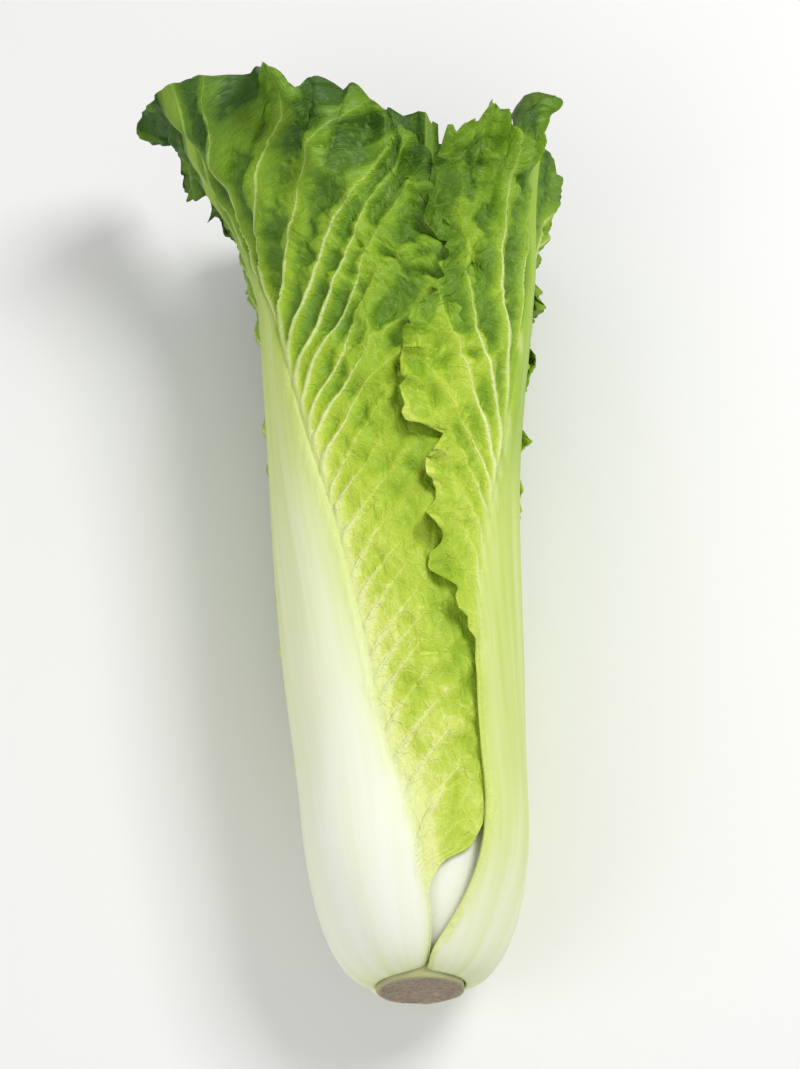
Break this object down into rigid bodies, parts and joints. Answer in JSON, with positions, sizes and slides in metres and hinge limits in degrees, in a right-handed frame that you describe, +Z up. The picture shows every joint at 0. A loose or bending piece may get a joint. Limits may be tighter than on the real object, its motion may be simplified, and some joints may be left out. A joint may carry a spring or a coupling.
{
  "type": "napa cabbage",
  "caption": "Tall napa cabbage head lying on its side, with broad pale ribs, ruffled green leaf tops and a cut stump, as a food or display prop.",
  "frame": {"origin": "on the surface that the head lies on, under the middle of its bounding box", "axes": "+Y along the head from the cut stump to the leaf tops, +Z up from the surface, +X to the right seen with the stump in front"},
  "size_m": [0.2018, 0.4341, 0.1573],
  "materials": {
    "outer_leaf": "crisp fresh leaf, green blade with a damp waxy gloss and a white rib",
    "inner_leaf": "crisp fresh leaf, yellow green blade with a waxy gloss and a white rib",
    "heart_leaf": "tender pale yellow leaf with a soft gloss",
    "cut_stalk": "dried brown cut through a white stalk"
  },
  "bodies": {
    "root": {"stump": "cut_stalk", "outer_leaf_left": "outer_leaf", "outer_leaf_right": "outer_leaf", "outer_leaf_under": "outer_leaf", "second_leaf_top": "inner_leaf", "second_leaf_right": "inner_leaf", "second_leaf_left": "inner_leaf", "third_leaf_right": "inner_leaf", "third_leaf_under": "inner_leaf", "third_leaf_left": "inner_leaf", "heart": "heart_leaf"}
  },
  "joints": []
}
